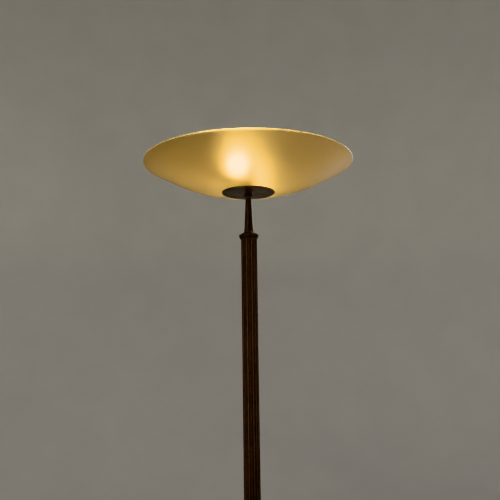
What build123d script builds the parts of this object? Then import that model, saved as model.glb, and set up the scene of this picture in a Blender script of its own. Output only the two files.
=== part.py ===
"""Torchiere floor lamp: a satin glass bowl on a turned neck, a fluted two-piece column and a weighted base.

Millimetres, +Z up. The origin is the centre of the felt's underside, on the floor.
Threads are plain cylinders at their nominal diameters.
"""
from build123d import *
from math import cos, radians, sin, sqrt, tan
import os

# Heights of the main stack
FELT_TOP = 2.5
PLATE_TOP = 4.0
WEIGHT_TOP = 24.0
COVER_TOP = 50.0
COLUMN_FOOT = 64.0
COLUMN_HEAD = 1630.0
NECK_FOOT = 1646.0
NECK_HEAD = 1725.5
DISC_UNDER = 1734.5

# Base
BASE_R = 145.0
BASE_EDGE_Z = 1.0
BASE_SHELL = 1.5
LOWER_TIER_TOP = 26.0
UPPER_TIER_R = 60.0
UPPER_TIER_TOP = 40.0
CROWN_R = 27.0
WEIGHT_R = 134.0
CHANNEL_HALF = 16.0
CHANNEL_TOP = 15.0
SCREW_CIRCLE_R = 110.0
SCREW_R = 2.0
SCREW_HEAD_R = 4.0
SCREW_TOP = 14.0

# Cord inlet, at the rear of the base
INLET_Z = 11.0
INLET_BORE_R = 3.6
INLET_BODY_R = 5.1
INLET_FLANGE_R = 7.5
INLET_INNER_Y = 134.5
INLET_OUTER_Y = 147.5

# Foot switch, at the front of the base
SWITCH_Y = -100.0
SWITCH_FLOOR = 9.0
SWITCH_BODY_R = 11.0
SWITCH_NECK_R = 8.0
SWITCH_CAVITY_R = 6.5
SWITCH_LIP_R = 5.9
SWITCH_NECK_TOP = 28.5
BUTTON_R = 5.6
BUTTON_TOP = 34.0
BUTTON_FLANGE_R = 6.2
BUTTON_FLANGE_BOTTOM = 24.3
BUTTON_FLANGE_TOP = 26.5
SPRING_R = 5.2
SPRING_WIRE_R = 0.4
BRIDGE_BOTTOM = 16.2
TAB_X = 3.0

# Column
COLUMN_R = 17.6
COLUMN_BORE_R = 14.0
FLUTES = 18
FLUTE_R = 3.6
FLUTE_DEPTH = 1.3
PLUG_R = 13.95
PLUG_LENGTH = 18.0

# Threaded pipe that ties every section together
PIPE_R = 5.0
PIPE_BORE_R = 3.75
PIPE_HOLE_R = 5.1
NUT_ACROSS_FLATS = 14.0
NUT_HEIGHT = 4.0
WASHER_THICK = 1.5
BASE_NUT_UNDER = CHANNEL_TOP - WASHER_THICK - NUT_HEIGHT

# Glass bowl and what clamps it
BOWL_R = 232.5
GLASS = 5.0
RIM_ROUND = 1.9
SEAT_R = 43.0
FLARE_R = 174.0
FLARE_SLOPE = radians(26.7)
BOWL_HOLE_R = 7.0
DISC_R = 59.0
DISC_THICK = 2.5
GASKET = 1.0
OUTER_GASKET_R = 40.0
INNER_GASKET_R = 20.0
SEAT_UNDER = DISC_UNDER + DISC_THICK + GASKET
SEAT_TOP = SEAT_UNDER + GLASS
CLAMP_R = 23.0
CLAMP_THICK = 2.0
CLAMP_UNDER = SEAT_TOP + GASKET
CLAMP_NUT_UNDER = CLAMP_UNDER + CLAMP_THICK

# Two-light cluster
CLUSTER_UNDER = CLAMP_NUT_UNDER + NUT_HEIGHT
CLUSTER_TOP = CLUSTER_UNDER + 24.0
CLUSTER_R = 16.0
CLUSTER_WALL = 2.0
ARM_Z = CLUSTER_UNDER + 10.0
ARM_TILT = 12.0
ARM_AZIMUTHS = {"front": -106.0, "rear": 74.0}
TERMINAL_UNDER = CLUSTER_UNDER + 12.0
TERMINAL_HALF = 6.0

# Lampholder and bulb, as distances out along the arm
BOSS_END = 19.0
BOSS_R = 8.0
ARM_PIPE_R = 4.0
ARM_PIPE_BORE_R = 2.75
HOLDER_R = 13.0
HOLDER_END = 53.0
HOLDER_FLOOR = 22.5
HOLDER_STEP = 24.5
INSULATOR_END = 28.5
SLEEVE_END = 47.5
SLEEVE_R = 7.9
SLEEVE_BORE_R = 7.25
BULB_TIP = 31.0
BULB_LENGTH = 74.0
BALL_R = 22.5
BULB_NECK_R = 8.0
BULB_WALL = 0.8
CAP_R = 6.9
CAP_ROOT_R = 6.5
CAP_PITCH = 2.82

# Wiring
WIRE_R = 1.1
WIRE_Z = 7.5
RISER_X = 1.4
RISER_BEND_Z = 6.2
RISER_BEND_R = 6.0
BLOCK_FRONT_Y = 63.0
BLOCK_GAP = 0.2
BLOCK_SIZE = (20.0, 24.0, 10.0)
BLOCK_UNDER = 4.5


def turned(points):
    """A solid of revolution about Z from (radius, height) corners."""
    outline = Polyline(*points, close=True)
    return revolve(make_face(Plane.XZ * outline), Axis.Z)


def ring(outer_r, inner_r, bottom, top):
    """A plain ring, or a disc where the inner radius is zero."""
    section = Circle(outer_r)
    if inner_r > 0:
        section -= Circle(inner_r)
    return Pos(0, 0, bottom) * extrude(section, top - bottom)


def pipe_locknuts():
    """Three equal nuts on the threaded pipe: under the weight, on the clamp plate and in the cluster."""
    corner_r = NUT_ACROSS_FLATS / 2 / cos(radians(30))
    nut = extrude(RegularPolygon(corner_r, 6) - Circle(PIPE_HOLE_R), NUT_HEIGHT)
    undersides = (BASE_NUT_UNDER, CLAMP_NUT_UNDER, CLUSTER_UNDER + CLUSTER_WALL)
    return Compound([Pos(0, 0, z) * nut for z in undersides])


def circle_edges(solid, radius, height):
    """The circular edges about Z that have this radius and height."""
    found = []
    for edge in solid.edges().filter_by(GeomType.CIRCLE):
        centre = edge.arc_center
        on_axis = abs(centre.X) < 0.01 and abs(centre.Y) < 0.01
        if on_axis and abs(edge.radius - radius) < 0.01 and abs(centre.Z - height) < 0.01:
            found.append(edge)
    return found


def rounded(solid, radius, height, amount):
    return fillet(circle_edges(solid, radius, height), amount)


def pipe(bottom, top):
    return ring(PIPE_R, PIPE_BORE_R, bottom, top)


def bend_radii(points, limits):
    """The largest easy radius for each corner of a wire's route, or the corner's own limit."""
    radii = []
    for index in range(1, len(points) - 1):
        before = Vector(*points[index]) - Vector(*points[index - 1])
        after = Vector(*points[index + 1]) - Vector(*points[index])
        half_turn = radians(before.get_angle(after) / 2)
        easy = 0.45 * min(before.length, after.length) / tan(half_turn)
        radii.append(min(easy, limits.get(index, easy)))
    return radii


def wire(points, limits=None):
    """A round insulated wire: straight runs joined by tangent arcs."""
    path = FilletPolyline(*points, radius=bend_radii(points, limits or {}))
    section = Plane(origin=path @ 0, z_dir=path % 0) * Circle(WIRE_R)
    return sweep(section, path)


# ---- Base ----

def base_dome(inset, foot):
    """The stepped dome of the base as a solid, pulled in all over by the inset."""
    lower_top = LOWER_TIER_TOP - inset
    upper_r = UPPER_TIER_R - inset
    upper_top = UPPER_TIER_TOP - inset
    crown_top = COVER_TOP - inset
    outline = [
        (0, foot),
        (BASE_R - inset, foot),
        (BASE_R - inset, lower_top),
        (upper_r, lower_top),
        (upper_r, upper_top),
        (CROWN_R - inset, crown_top),
        (0, crown_top),
    ]
    solid = turned(outline)
    solid = rounded(solid, BASE_R - inset, lower_top, 5.0 - inset)
    solid = rounded(solid, upper_r, lower_top, 3.0 + inset)
    return rounded(solid, upper_r, upper_top, 4.0 - inset)


def base_cover():
    shell = base_dome(0, BASE_EDGE_Z) - base_dome(BASE_SHELL, BASE_EDGE_Z - 1)
    shell -= ring(PIPE_HOLE_R, 0, WEIGHT_TOP, COVER_TOP + 1)
    shell -= Pos(0, SWITCH_Y, 0) * ring(SWITCH_NECK_R + 0.3, 0, SWITCH_FLOOR, LOWER_TIER_TOP + 1)
    inlet_hole = extrude(Plane.XZ * Pos(0, INLET_Z) * Circle(INLET_BODY_R + 0.1), -BASE_R - 1)
    return shell - inlet_hole


def base_weight():
    solid = ring(WEIGHT_R, PIPE_HOLE_R, PLATE_TOP, WEIGHT_TOP)
    front_y = SWITCH_Y + 15
    channel = Pos(0, (WEIGHT_R + front_y) / 2, (PLATE_TOP + CHANNEL_TOP) / 2)
    channel *= Box(2 * CHANNEL_HALF, WEIGHT_R - front_y + 2, CHANNEL_TOP - PLATE_TOP)
    solid -= channel
    solid -= Pos(0, SWITCH_Y, 0) * ring(15, 0, PLATE_TOP, WEIGHT_TOP)
    for spot in PolarLocations(SCREW_CIRCLE_R, 4, start_angle=45):
        solid -= spot * ring(SCREW_R + 0.1, 0, PLATE_TOP, SCREW_TOP + 1)
    return rounded(solid, WEIGHT_R, WEIGHT_TOP, 2)


def bottom_plate():
    solid = ring(WEIGHT_R + 2, 0, FELT_TOP, PLATE_TOP)
    for spot in PolarLocations(SCREW_CIRCLE_R, 4, start_angle=45):
        solid -= spot * screw_shape(0.1)
    return solid


def screw_shape(clearance=0.0):
    """A countersunk screw, head down, on the Z axis."""
    outline = [
        (0, FELT_TOP),
        (SCREW_HEAD_R + clearance, FELT_TOP),
        (SCREW_R + clearance, PLATE_TOP - 0.2),
        (SCREW_R + clearance, SCREW_TOP),
        (0, SCREW_TOP),
    ]
    return turned(outline)


def bottom_plate_screws():
    slot = Pos(0, 0, FELT_TOP) * Box(6, 1, 1.2)
    screw = screw_shape() - slot
    return Compound([spot * screw for spot in PolarLocations(SCREW_CIRCLE_R, 4, start_angle=45)])


def foot_collar():
    outline = [
        (PIPE_HOLE_R, COVER_TOP),
        (26, COVER_TOP),
        (26, COVER_TOP + 5),
        (21, COVER_TOP + 7),
        (18.4, COLUMN_FOOT),
        (PIPE_HOLE_R, COLUMN_FOOT),
    ]
    solid = turned(outline)
    solid = rounded(solid, 26, COVER_TOP + 5, 2.2)
    return rounded(solid, 26, COVER_TOP, 2.2)


def cord_inlet_bush():
    body = Circle(INLET_BODY_R) - Circle(INLET_BORE_R)
    flange = Circle(INLET_FLANGE_R) - Circle(INLET_BORE_R)
    rear = Plane(origin=(0, INLET_INNER_Y, INLET_Z), z_dir=(0, 1, 0))
    solid = extrude(rear * body, BASE_R - INLET_INNER_Y)
    flange_plane = rear.offset(BASE_R - INLET_INNER_Y)
    return solid + extrude(flange_plane * flange, INLET_OUTER_Y - BASE_R)


def terminal_block():
    """Two-pole screw terminal with wire holes front and back."""
    wide, deep, tall = BLOCK_SIZE
    middle = Pos(0, BLOCK_FRONT_Y + deep / 2, BLOCK_UNDER + tall / 2)
    solid = middle * fillet(Box(wide, deep, tall).edges().filter_by(Axis.Z), 1.5)
    solid -= middle * Pos(0, 0, tall / 2) * Box(2, deep + 1, 6)
    for x in (-4.5, 4.5):
        rear_hole = Plane(origin=(x, BLOCK_FRONT_Y + deep, WIRE_Z), z_dir=(0, -1, 0))
        solid -= extrude(rear_hole * Circle(1.6), 8)
        for y in (-6, 6):
            solid -= Pos(x, BLOCK_FRONT_Y + deep / 2 + y, BLOCK_UNDER + tall) * Cylinder(2, 6)
    return solid


# ---- Foot switch ----

def at_switch(solid):
    return Pos(0, SWITCH_Y, 0) * solid


def switch_housing():
    """Body under the cover, threaded neck through it, and a lip that keeps the button in."""
    cover_under = LOWER_TIER_TOP - BASE_SHELL
    outline = [
        (0, SWITCH_FLOOR),
        (SWITCH_BODY_R, SWITCH_FLOOR),
        (SWITCH_BODY_R, cover_under),
        (SWITCH_NECK_R, cover_under),
        (SWITCH_NECK_R, SWITCH_NECK_TOP),
        (SWITCH_LIP_R, SWITCH_NECK_TOP),
        (SWITCH_LIP_R, BUTTON_FLANGE_TOP + 0.3),
        (SWITCH_CAVITY_R, BUTTON_FLANGE_TOP + 0.3),
        (SWITCH_CAVITY_R, SWITCH_FLOOR + 1.5),
        (0, SWITCH_FLOOR + 1.5),
    ]
    solid = turned(outline)
    for x in (-TAB_X, TAB_X):
        solid -= Pos(x, 0, SWITCH_FLOOR) * Box(1.7, 2.2, 4)
    return at_switch(solid)


def switch_ring():
    solid = ring(11.5, SWITCH_NECK_R + 0.1, LOWER_TIER_TOP, LOWER_TIER_TOP + 3)
    return at_switch(rounded(solid, 11.5, LOWER_TIER_TOP + 3, 1.8))


def switch_button():
    """Plunger with a retaining flange, and a thin stem that carries the contact bridge."""
    outline = [
        (0, BRIDGE_BOTTOM + 0.8),
        (2, BRIDGE_BOTTOM + 0.8),
        (2, BUTTON_FLANGE_BOTTOM),
        (BUTTON_FLANGE_R, BUTTON_FLANGE_BOTTOM),
        (BUTTON_FLANGE_R, BUTTON_FLANGE_TOP),
        (BUTTON_R, BUTTON_FLANGE_TOP),
        (BUTTON_R, BUTTON_TOP),
        (0, BUTTON_TOP),
    ]
    return at_switch(rounded(turned(outline), BUTTON_R, BUTTON_TOP, 1.6))


def switch_bridge():
    return at_switch(ring(4.2, 0, BRIDGE_BOTTOM, BRIDGE_BOTTOM + 0.8))


def switch_spring():
    bottom = SWITCH_FLOOR + 1.5 + SPRING_WIRE_R + 0.05
    top = BUTTON_FLANGE_BOTTOM - SPRING_WIRE_R - 0.05
    path = Helix(pitch=(top - bottom) / 5.5, height=top - bottom, radius=SPRING_R)
    section = Plane(origin=path @ 0, z_dir=path % 0) * Circle(SPRING_WIRE_R)
    return at_switch(Pos(0, 0, bottom) * sweep(section, path))


def switch_tabs():
    low = SWITCH_FLOOR - 3.8
    high = BRIDGE_BOTTOM - 4.2
    tabs = [Pos(x, SWITCH_Y, (low + high) / 2) * Box(1.5, 2, high - low) for x in (-TAB_X, TAB_X)]
    return Compound(tabs)


# ---- Column ----

def fluted_tube(bottom, top):
    section = Circle(COLUMN_R) - Circle(COLUMN_BORE_R)
    flute_centre_r = COLUMN_R + FLUTE_R - FLUTE_DEPTH
    for spot in PolarLocations(flute_centre_r, FLUTES):
        section -= spot * Circle(FLUTE_R)
    return Pos(0, 0, bottom) * extrude(section, top - bottom)


def tube_plug(bottom):
    return ring(PLUG_R, PIPE_HOLE_R, bottom, bottom + PLUG_LENGTH)


def top_collar():
    """Turned collar: a sloping shoulder, a round edge and a cove down to the fluted tube."""
    wide_r = 22.3
    edge_low = COLUMN_HEAD + 8.0
    edge_high = COLUMN_HEAD + 9.8
    top_side = Line((PIPE_HOLE_R, NECK_FOOT), (11.0, NECK_FOOT))
    shoulder = Line(top_side @ 1, (wide_r - 0.6, edge_high))
    edge = ThreePointArc(shoulder @ 1, (wide_r, (edge_low + edge_high) / 2), (wide_r - 0.6, edge_low))
    cove = RadiusArc(edge @ 1, (COLUMN_R + 0.5, COLUMN_HEAD), 9)
    underside = Line(cove @ 1, (PIPE_HOLE_R, COLUMN_HEAD))
    bore = Line(underside @ 1, top_side @ 0)
    profile = make_face(Plane.XZ * Curve([top_side, shoulder, edge, cove, underside, bore]))
    return revolve(profile, Axis.Z)


def neck():
    """Slim taper with a small bead at its foot."""
    foot_r = 9.9
    bead_r = 10.8
    bead_low = NECK_FOOT + 1.5
    bead_high = NECK_FOOT + 5.0
    foot = Line((PIPE_HOLE_R, NECK_FOOT), (foot_r, NECK_FOOT))
    plinth = Line(foot @ 1, (foot_r, bead_low))
    bead = ThreePointArc(plinth @ 1, (bead_r, (bead_low + bead_high) / 2), (foot_r, bead_high))
    taper = Line(bead @ 1, (6.3, NECK_HEAD))
    head = Line(taper @ 1, (PIPE_HOLE_R, NECK_HEAD))
    bore = Line(head @ 1, foot @ 0)
    profile = make_face(Plane.XZ * Curve([foot, plinth, bead, taper, head, bore]))
    return revolve(profile, Axis.Z)


def neck_hub():
    outline = [
        (PIPE_HOLE_R, NECK_HEAD),
        (10.5, NECK_HEAD),
        (10.5, NECK_HEAD + 3),
        (7.5, NECK_HEAD + 3),
        (7.5, DISC_UNDER),
        (PIPE_HOLE_R, DISC_UNDER),
    ]
    solid = turned(outline)
    solid = rounded(solid, 10.5, NECK_HEAD + 3, 1.2)
    return rounded(solid, 10.5, NECK_HEAD, 1.2)


# ---- Bowl and its clamp ----

def shade_disc():
    disc = ring(DISC_R, PIPE_HOLE_R, DISC_UNDER, DISC_UNDER + DISC_THICK)
    disc = rounded(disc, DISC_R, DISC_UNDER, 0.8)
    return rounded(disc, DISC_R, DISC_UNDER + DISC_THICK, 0.8)


def glass_bowl():
    """Flat seat with a centre hole, an arc, and a straight flare to a rim that is square to the glass."""
    arc_r = (FLARE_R - SEAT_R) / sin(FLARE_SLOPE)
    flare_foot = Vector(FLARE_R, SEAT_UNDER + arc_r * (1 - cos(FLARE_SLOPE)))
    rim_edge = Vector(BOWL_R, flare_foot.Y + (BOWL_R - FLARE_R) * tan(FLARE_SLOPE))
    through_glass = Vector(-GLASS * sin(FLARE_SLOPE), GLASS * cos(FLARE_SLOPE))
    inner_edge = rim_edge + through_glass
    seat = Line((BOWL_HOLE_R, SEAT_UNDER), (SEAT_R, SEAT_UNDER))
    outside = TangentArc(seat @ 1, flare_foot, tangent=(1, 0))
    flare = Line(outside @ 1, rim_edge)
    rim = Line(flare @ 1, inner_edge)
    inner_flare = Line(rim @ 1, flare_foot + through_glass)
    inside = TangentArc((SEAT_R, SEAT_TOP), inner_flare @ 1, tangent=(1, 0))
    inner_seat = Line((SEAT_R, SEAT_TOP), (BOWL_HOLE_R, SEAT_TOP))
    hole = Line(inner_seat @ 1, seat @ 0)
    profile = make_face(Plane.XZ * Curve([seat, outside, flare, rim, inner_flare, inside, inner_seat, hole]))
    bowl = revolve(profile, Axis.Z)
    bowl = rounded(bowl, rim_edge.X, rim_edge.Y, RIM_ROUND)
    return rounded(bowl, inner_edge.X, inner_edge.Y, RIM_ROUND)


def clamp_plate():
    solid = ring(CLAMP_R, PIPE_HOLE_R, CLAMP_UNDER, CLAMP_NUT_UNDER)
    return rounded(solid, CLAMP_R, CLAMP_NUT_UNDER, 1)


# ---- Cluster, holders and bulbs ----

def on_arm(azimuth, solid):
    """Puts a solid built about Z, with distance along Z, onto the arm at this azimuth."""
    return Pos(0, 0, ARM_Z) * Rot(0, 0, azimuth) * Rot(0, 90 - ARM_TILT, 0) * solid


def cluster_body():
    cup = ring(CLUSTER_R, 0, CLUSTER_UNDER, CLUSTER_TOP)
    for azimuth in ARM_AZIMUTHS.values():
        cup += on_arm(azimuth, ring(BOSS_R, 0, 8, BOSS_END))
    cup -= ring(CLUSTER_R - CLUSTER_WALL, 0, CLUSTER_UNDER + CLUSTER_WALL, CLUSTER_TOP)
    for azimuth in ARM_AZIMUTHS.values():
        cup -= on_arm(azimuth, ring(ARM_PIPE_R + 0.1, 0, 6, BOSS_END + 1))
    return cup - ring(PIPE_HOLE_R, 0, CLUSTER_UNDER - 1, CLUSTER_UNDER + 3)


def cluster_cap():
    """Domed lid with a spigot into the cup and a small round finial."""
    edge = Line((CLUSTER_R + 0.8, CLUSTER_TOP), (CLUSTER_R + 0.8, CLUSTER_TOP + 1.5))
    dome = ThreePointArc(edge @ 1, (10, CLUSTER_TOP + 5.0), (0, CLUSTER_TOP + 6.5))
    axis_side = Line(dome @ 1, (0, CLUSTER_TOP))
    underside = Line(axis_side @ 1, edge @ 0)
    lid = revolve(make_face(Plane.XZ * Curve([edge, dome, axis_side, underside])), Axis.Z)
    spigot = ring(CLUSTER_R - CLUSTER_WALL - 0.1, 0, CLUSTER_TOP - 1.5, CLUSTER_TOP)
    stem = ring(2.4, 0, CLUSTER_TOP + 4, CLUSTER_TOP + 9)
    finial = Pos(0, 0, CLUSTER_TOP + 10.5) * Sphere(4)
    return lid + spigot + stem + finial


def cluster_terminal():
    side = 2 * TERMINAL_HALF
    block = Box(side, side, 9, align=(Align.CENTER, Align.CENTER, Align.MIN))
    block = fillet(block.edges().filter_by(Axis.Z), 1)
    for y in (-2.6, 2.6):
        block -= Pos(0, y, 9) * Cylinder(1.8, 3)
    return Pos(0, 0, TERMINAL_UNDER) * Rot(0, 0, ARM_AZIMUTHS["rear"]) * block


def arm_pipe():
    return ring(ARM_PIPE_R, ARM_PIPE_BORE_R, 14, HOLDER_FLOOR)


def holder_shell():
    outline = [
        (ARM_PIPE_R + 0.1, BOSS_END),
        (HOLDER_R - 4, BOSS_END),
        (HOLDER_R, BOSS_END + 4),
        (HOLDER_R, 34),
        (HOLDER_R - 0.8, 34.8),
        (HOLDER_R - 0.8, 36.2),
        (HOLDER_R, 37),
        (HOLDER_R, HOLDER_END),
        (10.5, HOLDER_END),
        (10.5, HOLDER_STEP),
        (9, HOLDER_STEP),
        (9, HOLDER_FLOOR),
        (ARM_PIPE_R + 0.1, HOLDER_FLOOR),
    ]
    return rounded(turned(outline), HOLDER_R, HOLDER_END, 0.9)


def holder_insulator():
    disc = ring(10.4, 0, HOLDER_STEP, INSULATOR_END)
    return rounded(disc, 10.4, INSULATOR_END, 0.6)


def holder_contact():
    spring_tongue = ring(3.5, 0, INSULATOR_END, INSULATOR_END + 0.8)
    return spring_tongue + ring(2, 0, INSULATOR_END + 0.8, BULB_TIP - 0.3)


def holder_sleeve():
    """Threaded sleeve, with its thread shown as rolled rings."""
    points = [(SLEEVE_BORE_R, SLEEVE_END), (SLEEVE_BORE_R, INSULATOR_END), (SLEEVE_R, INSULATOR_END)]
    height = INSULATOR_END + 3
    while height + CAP_PITCH < SLEEVE_END:
        points.append((SLEEVE_R, height))
        points.append((SLEEVE_R + 0.4, height + CAP_PITCH / 2))
        height += CAP_PITCH
    points.append((SLEEVE_R, height))
    points.append((SLEEVE_R, SLEEVE_END))
    return turned(points)


def holder_wires():
    """Two wires from the cluster's terminal to the holder's insulator."""
    start = TERMINAL_HALF + 1.6
    lengths = HOLDER_STEP - 0.1 - start
    wires = [Pos(0, y, start) * extrude(Circle(WIRE_R), lengths) for y in (-1.3, 1.3)]
    return Compound(wires)


def envelope(ball_r, neck_r, neck_start):
    """A round bulb's outer form: a ball that draws in to a straight neck."""
    ball_z = BULB_TIP + BULB_LENGTH - BALL_R
    shoulder_r = 0.62 * ball_r
    shoulder_z = ball_z - sqrt(ball_r**2 - shoulder_r**2)
    inward = (shoulder_z - ball_z, -shoulder_r)
    crown = ThreePointArc((0, ball_z + ball_r), (ball_r, ball_z), (shoulder_r, shoulder_z))
    throat = TangentArc(crown @ 1, (neck_r, BULB_TIP + 27), tangent=inward)
    stem = Line(throat @ 1, (neck_r, neck_start))
    bottom = Line(stem @ 1, (0, neck_start))
    axis_side = Line(bottom @ 1, crown @ 0)
    profile = make_face(Plane.XZ * Curve([crown, throat, stem, bottom, axis_side]))
    return revolve(profile, Axis.Z)


def bulb_glass():
    outside = envelope(BALL_R, BULB_NECK_R, BULB_TIP + 20.5)
    hollow = envelope(BALL_R - BULB_WALL, BULB_NECK_R - BULB_WALL, BULB_TIP + 20)
    return outside - hollow


def bulb_cap():
    """Screw shell, with its thread shown as rolled rings, and a flared skirt round the neck."""
    points = [(CAP_ROOT_R - 0.5, BULB_TIP + 3), (CAP_ROOT_R, BULB_TIP + 3)]
    height = BULB_TIP + 4
    while height + CAP_PITCH < BULB_TIP + 18.5:
        points.append((CAP_ROOT_R, height))
        points.append((CAP_R, height + CAP_PITCH / 2))
        height += CAP_PITCH
    points.append((CAP_ROOT_R, height))
    points.append((BULB_NECK_R + 0.6, BULB_TIP + 20))
    points.append((BULB_NECK_R + 0.6, BULB_TIP + 25))
    points.append((BULB_NECK_R + 0.05, BULB_TIP + 25))
    points.append((BULB_NECK_R + 0.05, BULB_TIP + 20.4))
    points.append((CAP_ROOT_R - 0.5, height + 0.4))
    return turned(points)


def bulb_contact():
    """Glass bead and solder tip that close the end of the cap."""
    outline = [
        (0, BULB_TIP),
        (2.2, BULB_TIP),
        (2.8, BULB_TIP + 1),
        (CAP_ROOT_R - 0.6, BULB_TIP + 2.6),
        (CAP_ROOT_R - 0.6, BULB_TIP + 5),
        (0, BULB_TIP + 5),
    ]
    return turned(outline)


def bulb_filament():
    """Glass mount, two support wires and the coiled filament across them."""
    mount = ring(3, 0, BULB_TIP + 21, BULB_TIP + 38)
    high = BULB_TIP + 52
    solid = mount
    for side in (-1, 1):
        foot = Vector(side * 2, 0, BULB_TIP + 37)
        tip = Vector(side * 9, 0, high)
        solid += extrude(Plane(origin=foot, z_dir=tip - foot) * Circle(0.4), (tip - foot).length)
    coil = Plane(origin=(-9.3, 0, high), z_dir=(1, 0, 0)) * Circle(0.7)
    return solid + extrude(coil, 18.6)


# ---- Wiring in the base and up the column ----

def riser_wire(x, tail):
    """A wire that comes in along the base, turns up into the pipe and ends at the cluster."""
    points = tail + [(x, 0, RISER_BEND_Z), (x, 0, TERMINAL_UNDER)]
    return wire(points, {len(tail): RISER_BEND_R})


def neutral_wire():
    tail = [
        (4.5, BLOCK_FRONT_Y - BLOCK_GAP, WIRE_Z),
        (4.9, 52, WIRE_Z),
        (-RISER_X, 30, RISER_BEND_Z),
    ]
    return riser_wire(-RISER_X, tail)


def live_wire():
    tail = [
        (TAB_X, SWITCH_Y + 1.1, WIRE_Z),
        (TAB_X + 0.6, SWITCH_Y + 16, WIRE_Z),
        (6.5, -55, WIRE_Z),
        (RISER_X, -26, RISER_BEND_Z),
    ]
    return riser_wire(RISER_X, tail)


def switch_feed_wire():
    points = [
        (-4.5, BLOCK_FRONT_Y - BLOCK_GAP, WIRE_Z),
        (-5.2, 51, WIRE_Z),
        (-12.4, 28, WIRE_Z),
        (-12.8, -28, WIRE_Z),
        (-6.5, -65, WIRE_Z),
        (-TAB_X, SWITCH_Y + 16, WIRE_Z),
        (-TAB_X - 0.1, SWITCH_Y + 1.1, WIRE_Z),
    ]
    return wire(points)


def all_parts():
    """Every piece by name."""
    column_joint = (COLUMN_FOOT + COLUMN_HEAD) / 2
    parts = {
        "base_felt": ring(WEIGHT_R, 0, 0, FELT_TOP),
        "bottom_plate": bottom_plate(),
        "bottom_plate_screws": bottom_plate_screws(),
        "base_weight": base_weight(),
        "base_cover": base_cover(),
        "base_spacer": ring(13, PIPE_HOLE_R, WEIGHT_TOP, COVER_TOP - BASE_SHELL),
        "base_washer": ring(13, PIPE_HOLE_R, CHANNEL_TOP - WASHER_THICK, CHANNEL_TOP),
        "pipe_locknuts": pipe_locknuts(),
        "base_pipe": pipe(BASE_NUT_UNDER - 1, COLUMN_FOOT + PLUG_LENGTH - 1),
        "foot_collar": foot_collar(),
        "cord_inlet_bush": cord_inlet_bush(),
        "terminal_block": terminal_block(),
        "switch_housing": switch_housing(),
        "switch_ring": switch_ring(),
        "switch_button": switch_button(),
        "switch_bridge": switch_bridge(),
        "switch_spring": switch_spring(),
        "switch_tabs": switch_tabs(),
        "lower_tube": fluted_tube(COLUMN_FOOT, column_joint),
        "lower_tube_foot_plug": tube_plug(COLUMN_FOOT),
        "lower_tube_head_plug": tube_plug(column_joint - PLUG_LENGTH),
        "joint_pipe": pipe(column_joint - PLUG_LENGTH + 1, column_joint + PLUG_LENGTH - 1),
        "upper_tube": fluted_tube(column_joint, COLUMN_HEAD),
        "upper_tube_foot_plug": tube_plug(column_joint),
        "upper_tube_head_plug": tube_plug(COLUMN_HEAD - PLUG_LENGTH),
        "top_collar": top_collar(),
        "neck": neck(),
        "neck_hub": neck_hub(),
        "neck_pipe": pipe(COLUMN_HEAD - PLUG_LENGTH + 1, CLUSTER_UNDER + 7),
        "shade_disc": shade_disc(),
        "outer_gasket": ring(OUTER_GASKET_R, PIPE_HOLE_R, SEAT_UNDER - GASKET, SEAT_UNDER),
        "glass_bowl": glass_bowl(),
        "inner_gasket": ring(INNER_GASKET_R, PIPE_HOLE_R, SEAT_TOP, SEAT_TOP + GASKET),
        "clamp_plate": clamp_plate(),
        "cluster_body": cluster_body(),
        "arm_pipes": Compound([on_arm(azimuth, arm_pipe()) for azimuth in ARM_AZIMUTHS.values()]),
        "cluster_terminal": cluster_terminal(),
        "cluster_cap": cluster_cap(),
        "live_wire": live_wire(),
        "neutral_wire": neutral_wire(),
        "switch_feed_wire": switch_feed_wire(),
    }
    arm_pieces = {
        "holder_shell": holder_shell(),
        "holder_insulator": holder_insulator(),
        "holder_contact": holder_contact(),
        "holder_sleeve": holder_sleeve(),
        "holder_wires": holder_wires(),
        "bulb_glass": bulb_glass(),
        "bulb_cap": bulb_cap(),
        "bulb_contact": bulb_contact(),
        "bulb_filament": bulb_filament(),
    }
    for end, azimuth in ARM_AZIMUTHS.items():
        for name, solid in arm_pieces.items():
            parts[f"{end}_{name}"] = on_arm(azimuth, solid)
    return parts


os.makedirs("parts", exist_ok=True)
for node, shape in all_parts().items():
    export_step(shape, f"parts/{node}.step")
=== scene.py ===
"""Looks of the torchiere floor lamp, in metres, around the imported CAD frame."""
import math

import bmesh
import bpy
from mathutils import Matrix, Vector


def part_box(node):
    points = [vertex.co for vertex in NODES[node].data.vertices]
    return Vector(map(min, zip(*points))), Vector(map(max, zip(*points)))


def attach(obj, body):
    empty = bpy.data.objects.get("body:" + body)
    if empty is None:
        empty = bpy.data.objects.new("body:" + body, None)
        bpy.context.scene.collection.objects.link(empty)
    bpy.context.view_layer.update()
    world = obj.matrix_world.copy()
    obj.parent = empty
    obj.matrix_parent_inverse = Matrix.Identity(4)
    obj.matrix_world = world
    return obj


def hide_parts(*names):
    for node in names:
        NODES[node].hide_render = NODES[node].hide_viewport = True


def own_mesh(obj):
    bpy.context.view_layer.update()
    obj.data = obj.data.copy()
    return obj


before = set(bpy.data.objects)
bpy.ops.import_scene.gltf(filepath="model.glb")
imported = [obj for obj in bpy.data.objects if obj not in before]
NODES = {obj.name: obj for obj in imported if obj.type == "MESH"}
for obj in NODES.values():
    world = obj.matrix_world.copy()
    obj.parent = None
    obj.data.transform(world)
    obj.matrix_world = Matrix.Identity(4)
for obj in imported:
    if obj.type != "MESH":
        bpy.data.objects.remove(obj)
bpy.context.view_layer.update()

ARM_ENDS = ("front", "rear")

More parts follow.
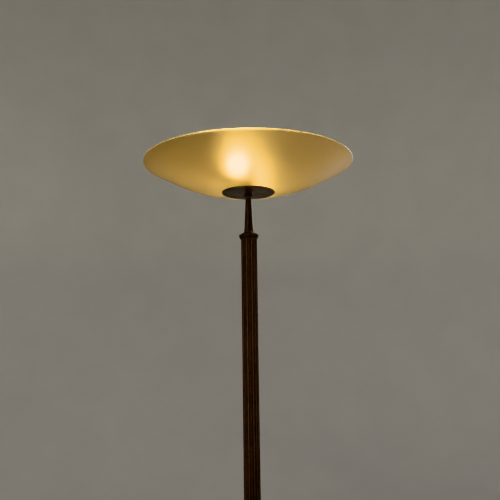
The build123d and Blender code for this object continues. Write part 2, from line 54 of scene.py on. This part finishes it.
# Glass bowl's section. Its seat stands SEAT_GAP clear of each gasket, so that no two faces coincide.
# Its rim is a half round, polished from POLISHED_FROM_DEG on, counted from the outside.
GLASS = 0.005
HOLE_R = 0.007
SEAT_R = 0.043
SEAT_INSET = 0.001
SEAT_GAP = 0.00006
FLARE_R = 0.174
FLARE_SLOPE_DEG = 26.7
POLISHED_FROM_DEG = 60
RIM_MARGIN = 1.02
BOWL_SEGMENTS = 192
ARC_STEPS = 48
FLARE_STEPS = 14
RIM_STEPS = 12
BOWL_SHARP_DEG = 40

# Glass bowl's and bulbs' looks
GLASS_IOR = 1.5
GLASS_TINT = (0.44, 0.295, 0.115)
RIM_TINT = (1.0, 0.95, 0.84)
MILK_TINT = (0.90, 0.46, 0.08)
MILK_SHARE = 0.02
SATIN_ROUGH = (0.35, 0.39)
VEIL_ROUGH = (0.54, 0.60)
VEIL_SHARE = 0.35
INNER_ROUGH = (0.22, 0.26)
RIM_ROUGH = (0.06, 0.14)
RING_SCALE = 350.0
RING_DEPTH = 0.00006
CLOUD_RELIEF = 0.4
GLOW = (1.0, 0.95, 0.64)
GLOW_STRENGTH = {"front": 1300.0, "rear": 240.0}

# Column: the lands between the flutes lie at this radius and beyond
LAND_FROM_R = 0.01665
LAND_FULL_R = 0.01725

# Foot switch spring
SPRING_WIRE_R = 0.0004
SPRING_TURNS = 5.5
SPRING_STEPS_A_TURN = 40
SPRING_SIDES = 12
SPRING_SHARP_DEG = 60

# Camera
LENS_MM = 40.3
CAMERA_AT = Vector((0.0019, -1.2182, 1.4347))
PITCH_DEG = 8.04
ROLL_DEG = 0.76

# Studio
FLOOR_R = 3.2
COVE_R = 0.9
WALL_TOP = 6.5
PINHOLE_R = 0.001
COVE_STEPS = 16
FLOOR_SEGMENTS = 96
SKY_STRENGTH = 0.18
LIGHTS = (
    # name, place, aim, size, watts, colour, spread in degrees
    ("key", (-1.9, -1.7, 2.7), (0, 0, 1.4), 1.4, 17, (1.0, 0.97, 0.93), 180),
    ("fill", (2.2, -1.2, 1.5), (0, 0, 1.2), 1.8, 8, (1.0, 0.98, 0.95), 180),
    ("back", (1.4, 2.0, 2.6), (0, 0, 1.5), 1.2, 16, (1.0, 0.93, 0.84), 180),
    ("floor", (1.3, 1.5, 1.1), (0, 0, 0.02), 1.4, 6, (1.0, 0.97, 0.93), 110),
    ("floor", (-1.3, -1.5, 1.1), (0, 0, 0.02), 1.4, 6, (1.0, 0.97, 0.93), 110),
)


# ---- Shader helpers ----

def add(tree, kind, inputs=None, **settings):
    """A shader node with its settings, and its inputs linked or set."""
    made = tree.nodes.new("ShaderNode" + kind)
    for name, value in settings.items():
        setattr(made, name, value)
    for name, value in (inputs or {}).items():
        if isinstance(value, bpy.types.NodeSocket):
            tree.links.new(value, made.inputs[name])
        else:
            made.inputs[name].default_value = value
    return made


def new_material(name):
    """An empty node material, its tree and its output node."""
    material = bpy.data.materials.new(name)
    material.use_nodes = True
    material.node_tree.nodes.clear()
    return material, material.node_tree, add(material.node_tree, "OutputMaterial")


def place(tree):
    """A point's place on the piece, in metres."""
    return add(tree, "TexCoord").outputs["Object"]


def noise(tree, where, scale, detail=4.0):
    inputs = {"Vector": where, "Scale": scale, "Detail": detail, "Roughness": 0.55}
    return add(tree, "TexNoise", inputs).outputs[0]


def ramp(tree, value, low, high, to_low=0.0, to_high=1.0):
    """Maps value from low..high onto to_low..to_high, smoothly and clamped."""
    made = add(
        tree, "MapRange",
        {"Value": value, "From Min": low, "From Max": high, "To Min": to_low, "To Max": to_high},
        interpolation_type="SMOOTHSTEP",
    )
    return made.outputs[0]


def mix_colour(tree, share, one, other):
    made = add(tree, "Mix", data_type="RGBA")
    for socket, value in ((made.inputs[0], share), (made.inputs[6], one), (made.inputs[7], other)):
        if isinstance(value, bpy.types.NodeSocket):
            tree.links.new(value, socket)
        else:
            socket.default_value = value if isinstance(value, float) else (*value, 1)
    return made.outputs[2]


def mix_shaders(tree, share, one, other):
    mixed = add(tree, "MixShader", {"Fac": share})
    tree.links.new(one.outputs[0], mixed.inputs[1])
    tree.links.new(other.outputs[0], mixed.inputs[2])
    return mixed


def maths(tree, operation, *values):
    made = add(tree, "Math", operation=operation)
    for index, value in enumerate(values):
        if isinstance(value, bpy.types.NodeSocket):
            tree.links.new(value, made.inputs[index])
        else:
            made.inputs[index].default_value = value
    return made.outputs[0]


def bump(tree, height, distance, strength=1.0):
    return add(tree, "Bump", {"Height": height, "Distance": distance, "Strength": strength}).outputs[0]


def radius_of(tree, where):
    """Distance from the lamp's axis."""
    parts = add(tree, "SeparateXYZ", {"Vector": where})
    x_squared = maths(tree, "MULTIPLY", parts.outputs["X"], parts.outputs["X"])
    y_squared = maths(tree, "MULTIPLY", parts.outputs["Y"], parts.outputs["Y"])
    return maths(tree, "SQRT", maths(tree, "ADD", x_squared, y_squared))


# ---- Materials ----

def bronze(name, wear_and_highlight_mask):
    """Dark bronze patina: mottled brown metal, lighter where the mask says. On edges this is rubbed wear;
    on the column's flute lands it is rubbed wear and also a painted highlight.
    """
    material, tree, output = new_material(name)
    where = place(tree)
    mottle = noise(tree, where, 38, 6)
    cloud = noise(tree, where, 9, 3)
    deep = (0.011, 0.0075, 0.0070)
    warm = (0.032, 0.0180, 0.0140)
    dull = (0.016, 0.010, 0.009)
    # lighter colour: rubbed bronze, and on the flute lands also a painted highlight
    rubbed_and_highlight = (0.16, 0.098, 0.070)
    colour = mix_colour(tree, ramp(tree, mottle, 0.35, 0.7), deep, warm)
    colour = mix_colour(tree, ramp(tree, cloud, 0.4, 0.75, 0.0, 0.45), colour, dull)
    speckle = noise(tree, where, 170, 5)
    wear_and_highlight = maths(tree, "MULTIPLY", wear_and_highlight_mask(tree, where), ramp(tree, speckle, 0.32, 0.62, 0.25, 1.0))
    colour = mix_colour(tree, wear_and_highlight, colour, rubbed_and_highlight)
    rough = ramp(tree, mottle, 0.3, 0.75, 0.30, 0.46)
    rough = maths(tree, "SUBTRACT", rough, maths(tree, "MULTIPLY", wear_and_highlight, 0.08))
    grain = noise(tree, where, 900, 3)
    shader = add(tree, "BsdfPrincipled", {
        "Base Color": colour, "Roughness": rough, "Metallic": 0.85,
        "Normal": bump(tree, grain, 0.00012, 0.35),
    })
    tree.links.new(shader.outputs[0], output.inputs["Surface"])
    return material


def ridge_wear_and_highlight_mask(tree, where):
    """The narrow lands between the flutes, which hands and dusters rub first. Their lighter colour is
    also a painted highlight along each land.
    """
    return ramp(tree, radius_of(tree, where), LAND_FROM_R, LAND_FULL_R, 0.0, 0.5)


def edge_mask(tree, where):
    """Convex edges, which don't depend on where."""
    pointed = add(tree, "NewGeometry").outputs["Pointiness"]
    return ramp(tree, pointed, 0.505, 0.56, 0.0, 0.75)


def metal(name, light, dark, rough_low, rough_high):
    """Plain metal with fine variation."""
    material, tree, output = new_material(name)
    where = place(tree)
    grain = noise(tree, where, 120, 5)
    stain = noise(tree, where, 22, 3)
    colour = mix_colour(tree, ramp(tree, grain, 0.35, 0.7), dark, light)
    colour = mix_colour(tree, ramp(tree, stain, 0.5, 0.8, 0.0, 0.2), colour, tuple(c * 0.6 for c in dark))
    shader = add(tree, "BsdfPrincipled", {
        "Base Color": colour, "Metallic": 1.0,
        "Roughness": ramp(tree, grain, 0.3, 0.75, rough_low, rough_high),
        "Normal": bump(tree, noise(tree, where, 700, 3), 0.0001, 0.3),
    })
    tree.links.new(shader.outputs[0], output.inputs["Surface"])
    return material


def matte(name, light, dark, rough, scale=60, grain_scale=500, grain_depth=0.0001, coat=0.0):
    """Moulded, cast or pressed material that isn't metal."""
    material, tree, output = new_material(name)
    where = place(tree)
    cloud = noise(tree, where, scale, 5)
    shader = add(tree, "BsdfPrincipled", {
        "Base Color": mix_colour(tree, ramp(tree, cloud, 0.3, 0.7), dark, light),
        "Roughness": ramp(tree, cloud, 0.3, 0.7, rough - 0.06, rough + 0.06),
        "Coat Weight": coat, "Coat Roughness": 0.2,
        "Normal": bump(tree, noise(tree, where, grain_scale, 4), grain_depth, 0.5),
    })
    tree.links.new(shader.outputs[0], output.inputs["Surface"])
    return material


def glass_shader(tree, tint, rough, normal=None):
    """Tinted glass, as satin as rough says."""
    inputs = {"Base Color": (*tint, 1), "Transmission Weight": 1.0, "IOR": GLASS_IOR, "Roughness": rough}
    if normal is not None:
        inputs["Normal"] = normal
    return add(tree, "BsdfPrincipled", inputs)


def satin_glass():
    """Amber glass, etched satin and wiped in fine rings, which draw a lamp's glow out up the wall."""
    material, tree, output = new_material("satin_glass")
    where = place(tree)
    cloud = noise(tree, where, 30, 4)
    ring_inputs = {"W": radius_of(tree, where), "Scale": RING_SCALE, "Detail": 2.0}
    rings = add(tree, "TexNoise", ring_inputs, noise_dimensions="1D").outputs[0]
    relief = maths(tree, "ADD", rings, maths(tree, "MULTIPLY", cloud, CLOUD_RELIEF))
    normal = bump(tree, relief, RING_DEPTH)
    sharp = glass_shader(tree, GLASS_TINT, ramp(tree, cloud, 0.3, 0.7, *SATIN_ROUGH), normal)
    veil = glass_shader(tree, GLASS_TINT, ramp(tree, cloud, 0.3, 0.7, *VEIL_ROUGH), normal)
    milky = add(tree, "BsdfTranslucent", {"Color": (*MILK_TINT, 1), "Normal": normal})
    satin = mix_shaders(tree, VEIL_SHARE, sharp, veil)
    tree.links.new(mix_shaders(tree, MILK_SHARE, satin, milky).outputs[0], output.inputs["Surface"])
    return material


def smooth_glass(name, tint, rough):
    """Glass that isn't etched: the bowl's inner face, and its ground and polished rim."""
    material, tree, output = new_material(name)
    shader = glass_shader(tree, tint, ramp(tree, noise(tree, place(tree), 80, 4), 0.3, 0.7, *rough))
    tree.links.new(shader.outputs[0], output.inputs["Surface"])
    return material


def lit_bulb(name, strength):
    """Frosted bulb glass, lit from inside."""
    material, tree, output = new_material(name)
    where = place(tree)
    shader = add(tree, "BsdfPrincipled", {
        "Base Color": (0.95, 0.9, 0.82, 1),
        "Roughness": ramp(tree, noise(tree, where, 90, 3), 0.3, 0.7, 0.35, 0.5),
        "Emission Color": (*GLOW, 1), "Emission Strength": strength,
    })
    tree.links.new(shader.outputs[0], output.inputs["Surface"])
    return material


def dress(material, *names):
    """Gives CAD nodes this material on all of their slots."""
    for name in names:
        for slot in NODES[name].material_slots:
            slot.material = material


# ---- Mesh helpers ----

def lathe(name, profile, segments, closed=True):
    """A surface of revolution about Z from (radius, height) points. A closed one joins last to first."""
    bm = bmesh.new()
    rows = []
    for radius, height in profile:
        row = []
        for step in range(segments):
            turn = 2 * math.pi * step / segments
            row.append(bm.verts.new((radius * math.cos(turn), radius * math.sin(turn), height)))
        rows.append(row)
    pairs = list(zip(rows, rows[1:] + rows[:1])) if closed else list(zip(rows, rows[1:]))
    for low, high in pairs:
        for step in range(segments):
            after = (step + 1) % segments
            bm.faces.new((low[step], low[after], high[after], high[step]))
    bmesh.ops.recalc_face_normals(bm, faces=bm.faces)
    return mesh_object(name, bm)


def mesh_object(name, bm):
    """A smooth-shaded object from a bmesh, which it frees."""
    mesh = bpy.data.meshes.new(name)
    bm.to_mesh(mesh)
    bm.free()
    mesh.shade_smooth()
    made = bpy.data.objects.new(name, mesh)
    bpy.context.scene.collection.objects.link(made)
    return made


def arc(centre, radius, start_deg, end_deg, steps):
    """Points on an arc, angles from +r towards +z."""
    points = []
    for step in range(steps + 1):
        angle = math.radians(start_deg + (end_deg - start_deg) * step / steps)
        points.append((centre[0] + radius * math.cos(angle), centre[1] + radius * math.sin(angle)))
    return points


def along(start, end, steps):
    """Points on a straight run, after its start."""
    return [tuple(a + (b - a) * step / steps for a, b in zip(start, end)) for step in range(1, steps + 1)]


# ---- Pieces ----

def glass_bowl():
    """Flat seat, an arc, a straight flare, and a round rim that is polished on its inner part."""
    low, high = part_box("glass_bowl")
    half = GLASS / 2
    slope = math.radians(FLARE_SLOPE_DEG)
    arc_end = -90 + FLARE_SLOPE_DEG
    arc_r = (FLARE_R - SEAT_R) / math.sin(slope)
    inner_r = arc_r - GLASS
    centre = (SEAT_R, low.z + arc_r)
    flare_foot_z = centre[1] - arc_r * math.cos(slope)
    rim_r = high.x - half + half * math.sin(slope)
    rim_z = flare_foot_z + (rim_r - FLARE_R) * math.tan(slope)
    rim_centre = (high.x - half, rim_z + half * math.cos(slope))
    outside = arc(centre, arc_r, -90, arc_end, ARC_STEPS)
    outside += along(outside[-1], (rim_r, rim_z), FLARE_STEPS)
    rim = arc(rim_centre, half, arc_end, arc_end + 180, RIM_STEPS)
    inner_foot = (centre[0] + inner_r * math.sin(slope), centre[1] - inner_r * math.cos(slope))
    inside = along(rim[-1], inner_foot, FLARE_STEPS) + arc(centre, inner_r, arc_end, -90, ARC_STEPS)[1:]
    seat_end = SEAT_R - SEAT_INSET
    seat = [(HOLE_R, low.z + SEAT_GAP), (seat_end, low.z + SEAT_GAP)]
    inner_seat = [(seat_end, low.z + GLASS - SEAT_GAP), (HOLE_R, low.z + GLASS - SEAT_GAP)]
    bowl = lathe("bowl", [*seat, *outside[:-1], *rim, *inside, *inner_seat], BOWL_SEGMENTS)
    bowl.data.set_sharp_from_angle(angle=math.radians(BOWL_SHARP_DEG))
    bowl.data.materials.append(satin_glass())
    bowl.data.materials.append(smooth_glass("polished_rim", RIM_TINT, RIM_ROUGH))
    bowl.data.materials.append(smooth_glass("inner_glass", GLASS_TINT, INNER_ROUGH))
    polished_from = math.radians(arc_end + POLISHED_FROM_DEG)
    for face in bowl.data.polygons:
        out = math.hypot(face.center.x, face.center.y) - rim_centre[0]
        up = face.center.z - rim_centre[1]
        if math.hypot(out, up) < half * RIM_MARGIN:
            face.material_index = 1 if math.atan2(up, out) > polished_from else 0
        elif face.normal.z > 0:
            face.material_index = 2
    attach(bowl, "lamp")
    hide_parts("glass_bowl")


def switch_spring(finish):
    """The foot switch's coil spring, built at one length; in the real switch it shortens as the button
    goes down.
    """
    low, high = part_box("switch_spring")
    middle = (low + high) / 2
    coil_r = (high.x - low.x) / 2 - SPRING_WIRE_R
    rise = high.z - low.z - 2 * SPRING_WIRE_R
    steps = round(SPRING_TURNS * SPRING_STEPS_A_TURN)
    bm = bmesh.new()
    rings = []
    for step in range(steps + 1):
        share = step / steps
        turn = 2 * math.pi * SPRING_TURNS * share
        out = Vector((math.cos(turn), math.sin(turn), 0))
        centre = Vector((middle.x, middle.y, low.z + SPRING_WIRE_R + rise * share)) + out * coil_r
        ring = []
        for side in range(SPRING_SIDES):
            around = 2 * math.pi * side / SPRING_SIDES
            offset = out * math.cos(around) + Vector((0, 0, math.sin(around)))
            ring.append(bm.verts.new(centre + offset * SPRING_WIRE_R))
        rings.append(ring)
    for one, other in zip(rings, rings[1:]):
        for side in range(SPRING_SIDES):
            after = (side + 1) % SPRING_SIDES
            bm.faces.new((one[side], one[after], other[after], other[side]))
    bm.faces.new(rings[0])
    bm.faces.new(rings[-1])
    bmesh.ops.recalc_face_normals(bm, faces=bm.faces)
    spring = mesh_object("coil_spring", bm)
    spring.data.set_sharp_from_angle(angle=math.radians(SPRING_SHARP_DEG))
    spring.data.materials.append(finish)
    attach(spring, "lamp")
    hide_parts("switch_spring")
    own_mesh(spring)


def dress_lamp():
    """Materials of every CAD node, and the spring."""
    # the fluted tubes' lands get the lighter colour as wear and also as a painted highlight
    dress(bronze("fluted_bronze", ridge_wear_and_highlight_mask), "lower_tube", "upper_tube")
    dress(
        bronze("turned_bronze", edge_mask),
        "base_cover", "foot_collar", "switch_ring", "top_collar", "neck", "neck_hub", "shade_disc",
    )
    satin_brass = metal("satin_brass", (0.70, 0.50, 0.25), (0.63, 0.445, 0.215), 0.24, 0.34)
    dress(satin_brass, "cluster_body", "cluster_cap")
    zinc = metal("zinc_steel", (0.64, 0.64, 0.61), (0.47, 0.47, 0.46), 0.28, 0.44)
    dress(
        zinc, "bottom_plate", "bottom_plate_screws", "base_spacer", "base_washer", "pipe_locknuts",
        "base_pipe", "joint_pipe", "neck_pipe", "clamp_plate", "arm_pipes",
        "lower_tube_foot_plug", "lower_tube_head_plug", "upper_tube_foot_plug", "upper_tube_head_plug",
    )
    iron = matte("grey_iron", (0.13, 0.13, 0.13), (0.07, 0.065, 0.06), 0.62, 40, 260, 0.0004)
    dress(iron, "base_weight")
    felt = matte("dark_felt", (0.05, 0.06, 0.05), (0.025, 0.03, 0.025), 0.93, 300, 1500, 0.0006)
    dress(felt, "base_felt")
    rubber = matte("black_rubber", (0.035, 0.034, 0.033), (0.02, 0.02, 0.02), 0.6)
    dress(rubber, "cord_inlet_bush", "outer_gasket", "inner_gasket")
    phenolic = matte(
        "black_phenolic", (0.045, 0.033, 0.026), (0.02, 0.014, 0.011), 0.34, 25, 900, 0.00004, coat=0.25,
    )
    dress(phenolic, "switch_housing", "switch_button")
    nylon = matte("nylon", (0.86, 0.85, 0.80), (0.76, 0.74, 0.68), 0.5)
    dress(nylon, "terminal_block", "cluster_terminal")
    contact = metal("contact_brass", (0.80, 0.60, 0.28), (0.66, 0.47, 0.2), 0.22, 0.34)
    dress(contact, "switch_bridge", "switch_tabs")
    brown = matte("brown_wire", (0.20, 0.09, 0.04), (0.15, 0.06, 0.03), 0.42)
    dress(brown, "live_wire", "switch_feed_wire")
    dress(matte("blue_wire", (0.05, 0.15, 0.40), (0.03, 0.10, 0.30), 0.42), "neutral_wire")
    ceramic = matte("white_ceramic", (0.86, 0.84, 0.79), (0.78, 0.75, 0.69), 0.55)
    nickel = metal("nickel_cap", (0.70, 0.68, 0.62), (0.58, 0.56, 0.5), 0.2, 0.32)
    tungsten = metal("filament_wire", (0.5, 0.48, 0.45), (0.4, 0.38, 0.36), 0.3, 0.4)
    for end in ARM_ENDS:
        dress(phenolic, f"{end}_holder_shell")
        dress(ceramic, f"{end}_holder_insulator")
        dress(contact, f"{end}_holder_contact", f"{end}_holder_sleeve", f"{end}_bulb_contact")
        dress(nickel, f"{end}_bulb_cap")
        dress(tungsten, f"{end}_bulb_filament")
        dress(lit_bulb(f"{end}_bulb_glow", GLOW_STRENGTH[end]), f"{end}_bulb_glass")
        dress(brown, f"{end}_holder_wires")
    switch_spring(zinc)


# ---- Studio ----

def studio():
    """Pale seamless floor and backdrop, and soft lights."""
    cove = arc((FLOOR_R, COVE_R), COVE_R, -90, 0, COVE_STEPS)[1:]
    profile = [(PINHOLE_R, 0), (FLOOR_R, 0), *cove, (FLOOR_R + COVE_R, WALL_TOP)]
    floor = lathe("studio_floor", profile, FLOOR_SEGMENTS, closed=False)
    paper = matte("studio_paper", (0.80, 0.79, 0.77), (0.77, 0.76, 0.74), 0.85, 3, 200, 0.0002)
    floor.data.materials.append(paper)
    world = bpy.data.worlds.new("soft_sky")
    bpy.context.scene.world = world
    world.use_nodes = True
    background = world.node_tree.nodes["Background"]
    background.inputs["Color"].default_value = (1.0, 0.97, 0.93, 1)
    background.inputs["Strength"].default_value = SKY_STRENGTH
    for light in LIGHTS:
        soft_light(*light)


def soft_light(name, at, towards, size, watts, colour, spread_deg):
    """A round area light."""
    data = bpy.data.lights.new(name, "AREA")
    data.shape = "DISK"
    data.spread = math.radians(spread_deg)
    data.size = size
    data.energy = watts
    data.color = colour
    made = bpy.data.objects.new(name, data)
    made.location = at
    made.rotation_euler = (Vector(towards) - Vector(at)).to_track_quat("-Z", "Y").to_euler()
    bpy.context.scene.collection.objects.link(made)


def camera():
    """The view from below the bowl's rim, turned a little about its own axis."""
    data = bpy.data.cameras.new("camera")
    data.lens = LENS_MM
    made = bpy.data.objects.new("camera", data)
    tilt = Matrix.Rotation(math.radians(90 + PITCH_DEG), 4, "X")
    roll = Matrix.Rotation(math.radians(-ROLL_DEG), 4, "Z")
    made.matrix_world = Matrix.Translation(CAMERA_AT) @ tilt @ roll
    bpy.context.scene.collection.objects.link(made)
    bpy.context.scene.camera = made


bpy.context.scene.view_settings.view_transform = "Khronos PBR Neutral"
dress_lamp()
glass_bowl()
studio()
camera()
